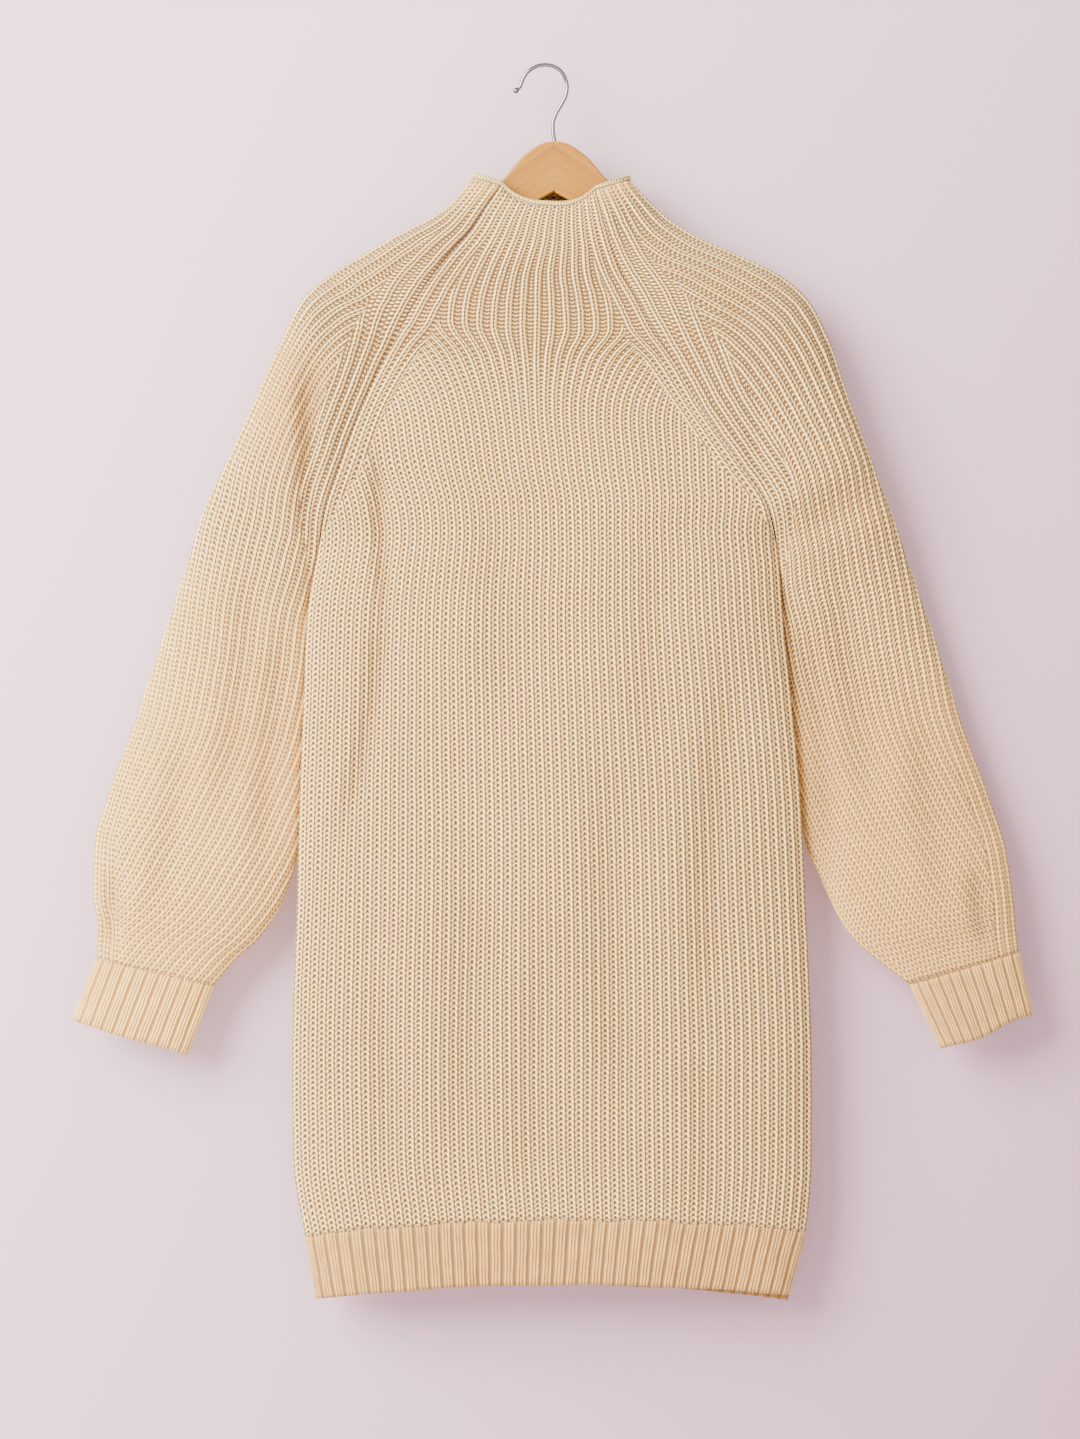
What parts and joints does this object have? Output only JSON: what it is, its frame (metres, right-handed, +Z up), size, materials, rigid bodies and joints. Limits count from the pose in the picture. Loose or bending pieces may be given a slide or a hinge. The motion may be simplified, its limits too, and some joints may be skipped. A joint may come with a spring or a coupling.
{
  "type": "sweater dress on hanger",
  "caption": "Mock-neck raglan sweater dress in ribbed knit, with balloon sleeves and ribbed cuffs and hem, hanging flat on a wooden hanger with a wire hook.",
  "frame": {"origin": "bearing point inside the top of the hanger's hook", "axes": "+Z up, the front of the dress faces -Y, its right side in the front view is +X"},
  "size_m": [0.7689, 0.0551, 0.9901],
  "materials": {
    "knit": "matte cream half-cardigan rib knit",
    "rib": "matte cream fine rib knit",
    "wood": "clear satin lacquer on light wood",
    "chrome": "polished"
  },
  "bodies": {
    "root": {"front_panel": "knit", "back_panel": "knit", "left_sleeve": "knit", "right_sleeve": "knit", "neck_band": "rib", "front_hem_rib": "rib", "back_hem_rib": "rib", "left_cuff": "rib", "right_cuff": "rib", "hanger_arm_left": "wood", "hanger_arm_right": "wood", "hanger_hook": "chrome"}
  },
  "joints": []
}
